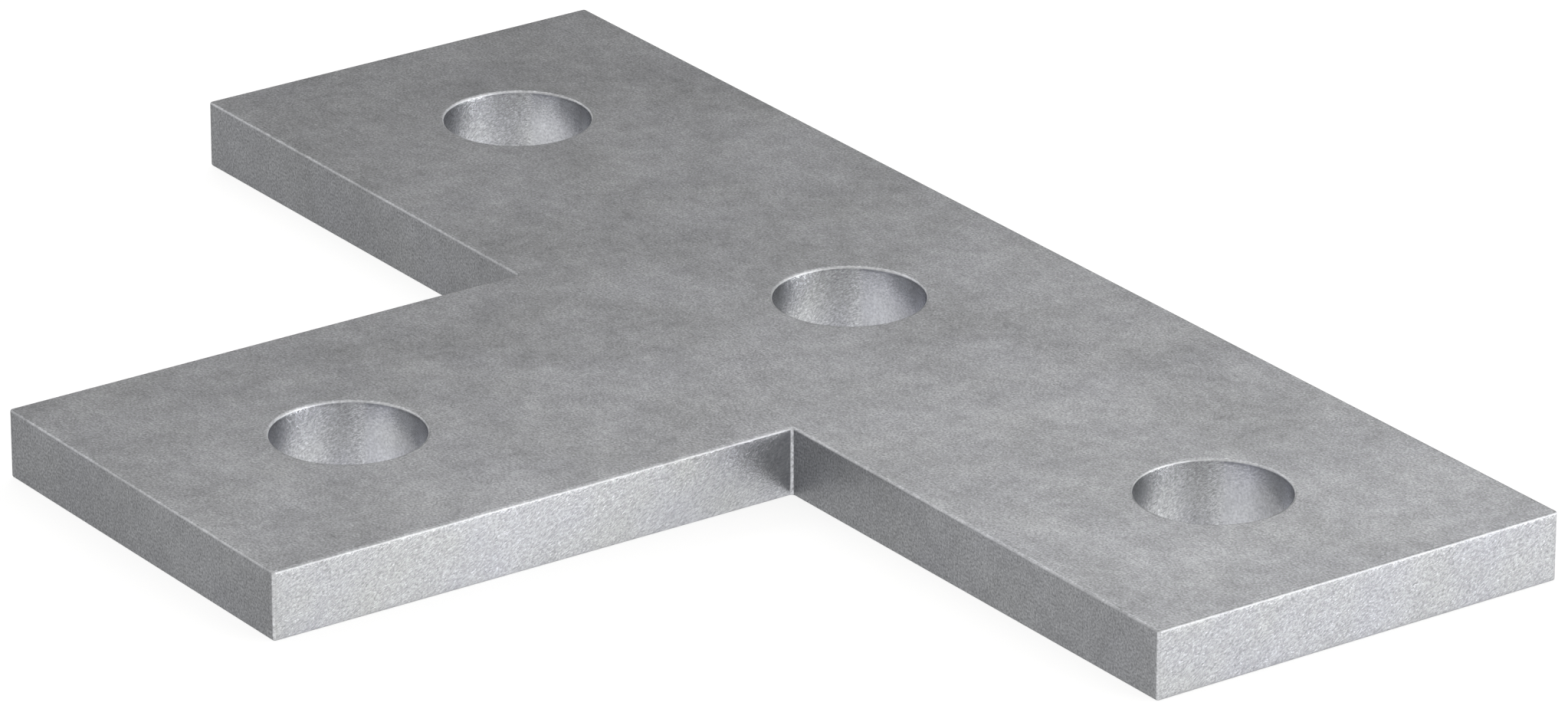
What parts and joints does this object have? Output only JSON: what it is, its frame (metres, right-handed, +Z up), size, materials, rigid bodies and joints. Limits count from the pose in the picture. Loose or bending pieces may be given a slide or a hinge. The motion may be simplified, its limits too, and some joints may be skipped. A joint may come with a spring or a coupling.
{
  "type": "connecting plate",
  "caption": "Flat T-shaped steel plate, hot-dip galvanised, with round bolt holes along its bar and in its stem, for joining framing channels at a tee.",
  "frame": {"origin": "centre of the bolt hole where the bar and the stem cross, on the underside", "axes": "+X along the bar, the stem points along -Y, +Z up through the thickness"},
  "size_m": [0.138, 0.09, 0.006],
  "materials": {
    "zinc": "hot-dip galvanised: mottled matt grey faces, brighter rough edges"
  },
  "bodies": {
    "root": {"tee_plate": "zinc"}
  },
  "joints": []
}
